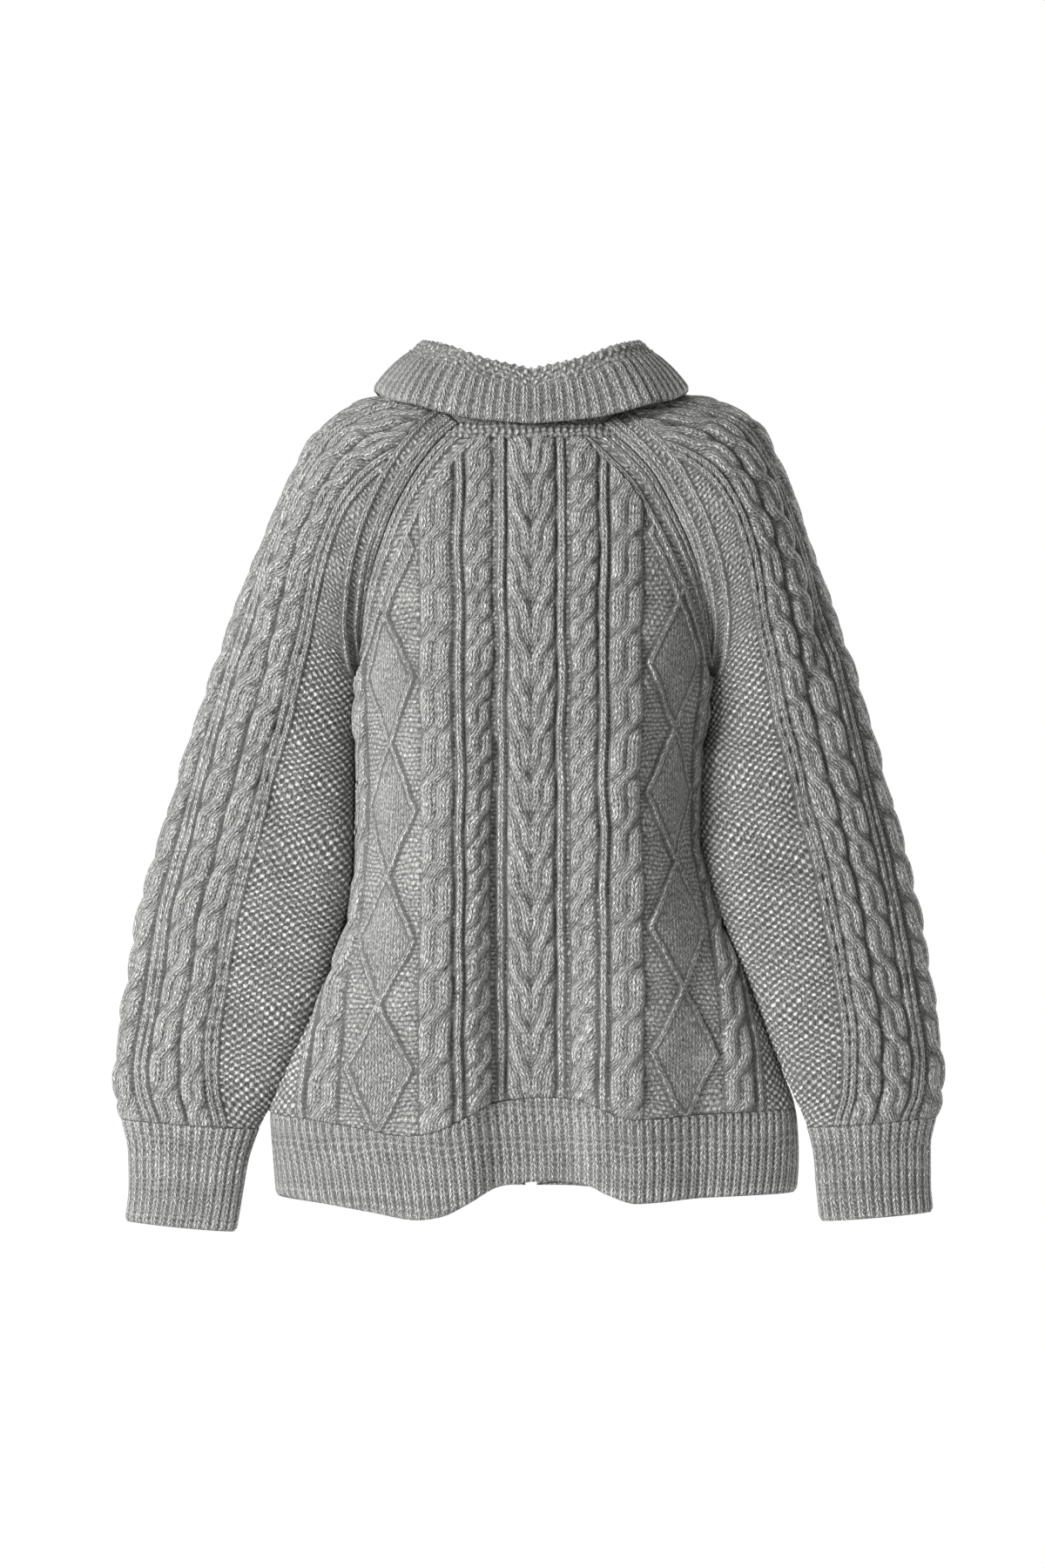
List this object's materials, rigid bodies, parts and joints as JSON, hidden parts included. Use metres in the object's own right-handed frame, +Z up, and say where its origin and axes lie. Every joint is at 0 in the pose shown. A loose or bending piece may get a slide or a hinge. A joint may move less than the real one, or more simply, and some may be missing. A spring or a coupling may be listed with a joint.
{
  "type": "zip-up cardigan",
  "caption": "Chunky raglan cardigan in cabled grey wool with a turned-down ribbed collar, ribbed welt and cuffs, and a front zip.",
  "frame": {"origin": "on the body's axis at the level of the high shoulder points, where the wearer carries it", "axes": "+Z up along the body, +Y towards the zip front, -Y towards the back, +X towards the wearer's right"},
  "size_m": [0.7232, 0.2466, 0.7637],
  "materials": {
    "knit": "matte heather wool knit",
    "zip_tape": "matte woven tape",
    "zip_metal": "aged, softly polished"
  },
  "bodies": {
    "garment": {"back": "knit", "back_welt": "knit", "front_left": "knit", "front_right": "knit", "front_welt_left": "knit", "front_welt_right": "knit", "sleeve_left": "knit", "sleeve_right": "knit", "cuff_left": "knit", "cuff_right": "knit", "collar": "knit", "zip_tape_left": "zip_tape", "zip_tape_right": "zip_tape", "zip_chain": "zip_metal", "zip_box": "zip_metal", "zip_slider": "zip_metal"},
    "pull_tab": {"zip_pull_tab": "zip_metal"}
  },
  "joints": [
    {"name": "pull_tab_swing", "type": "hinge", "parent": "garment", "child": "pull_tab", "pos_m": [0, 0.08567, -0.09066], "axis": [1, 0, 0], "range_deg": [0, 150]}
  ]
}
